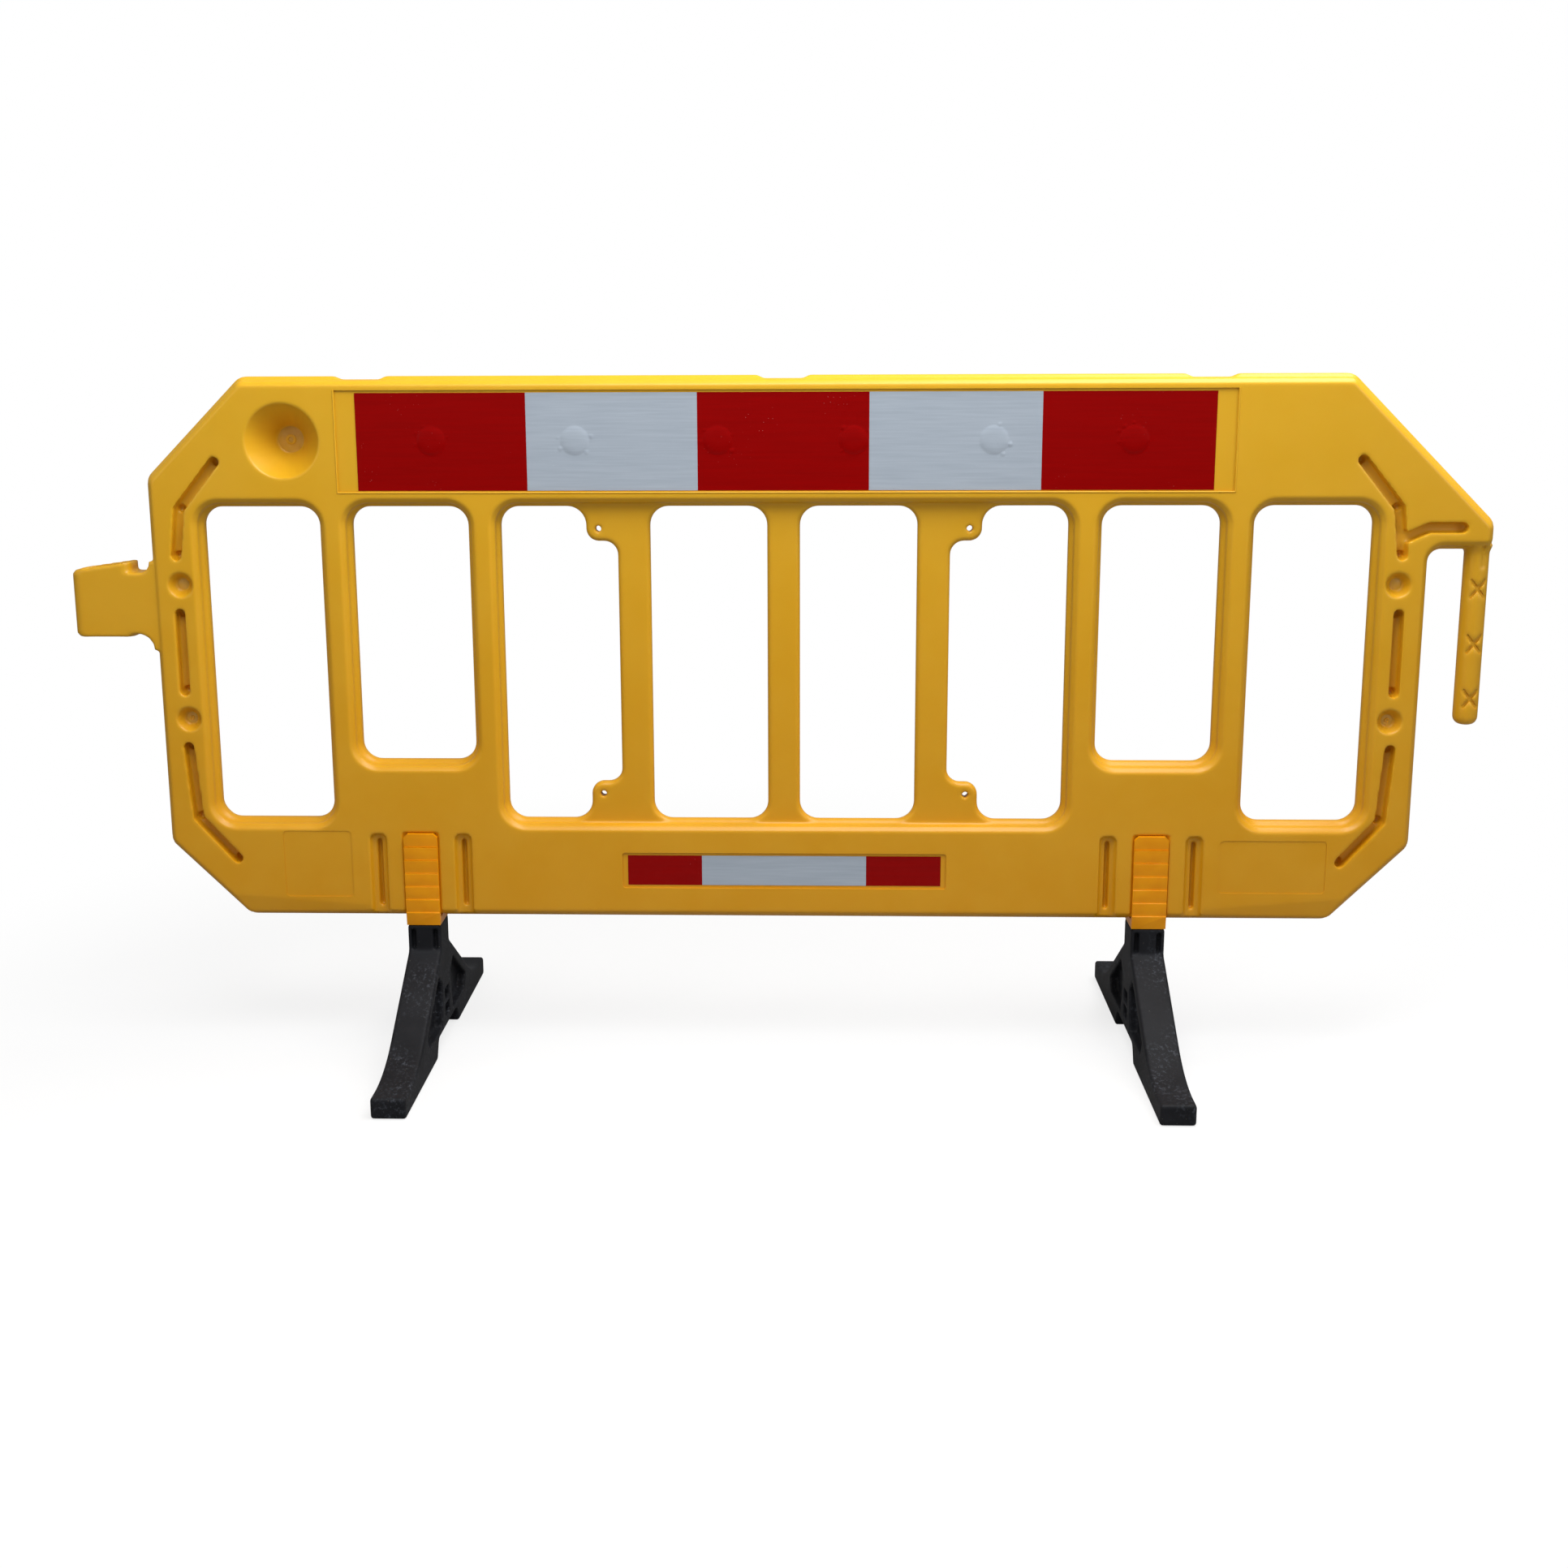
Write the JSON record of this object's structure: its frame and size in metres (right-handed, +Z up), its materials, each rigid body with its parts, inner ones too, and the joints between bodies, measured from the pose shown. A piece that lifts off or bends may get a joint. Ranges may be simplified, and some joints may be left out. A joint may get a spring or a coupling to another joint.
{
  "type": "pedestrian barrier",
  "caption": "Moulded plastic road barrier panel with windows, reflective sheeting, a peg and socket coupling, and swivelling rubber feet.",
  "frame": {"origin": "on the ground, under the middle of the overall box", "axes": "+X towards the peg end, -Y towards the sheeted face, +Z up"},
  "size_m": [2.0614, 0.578, 1.009],
  "materials": {
    "panel_plastic": "moulded polyethylene, satin",
    "clip_plastic": "moulded, satin",
    "red_sheeting": "glossy retroreflective film",
    "white_sheeting": "glossy retroreflective film",
    "foot_rubber": "matt, scuffed",
    "zinc_steel": "zinc plated",
    "bush_steel": "plain turned"
  },
  "bodies": {
    "panel": {"barrier_panel": "panel_plastic", "upper_sheet_red_left": "red_sheeting", "upper_sheet_white_left": "white_sheeting", "upper_sheet_red_centre": "red_sheeting", "upper_sheet_white_right": "white_sheeting", "upper_sheet_red_right": "red_sheeting", "lower_sheet_red_left": "red_sheeting", "lower_sheet_white": "white_sheeting", "lower_sheet_red_right": "red_sheeting", "left_foot_clip": "clip_plastic", "left_swivel_bolt": "zinc_steel", "left_head_washer": "zinc_steel", "left_nut_washer": "zinc_steel", "left_lock_nut": "zinc_steel", "right_foot_clip": "clip_plastic", "right_swivel_bolt": "zinc_steel", "right_head_washer": "zinc_steel", "right_nut_washer": "zinc_steel", "right_lock_nut": "zinc_steel"},
    "left_foot": {"left_foot": "foot_rubber", "left_foot_bush": "bush_steel"},
    "right_foot": {"right_foot": "foot_rubber", "right_foot_bush": "bush_steel"}
  },
  "joints": [
    {"name": "left_foot_swivel", "type": "hinge", "parent": "panel", "child": "left_foot", "pos_m": [-0.53, 0, 0.194], "axis": [0, 0, 1], "range_deg": [-90, 90]},
    {"name": "right_foot_swivel", "type": "hinge", "parent": "panel", "child": "right_foot", "pos_m": [0.556, 0, 0.194], "axis": [0, 0, 1], "range_deg": [-90, 90]}
  ]
}
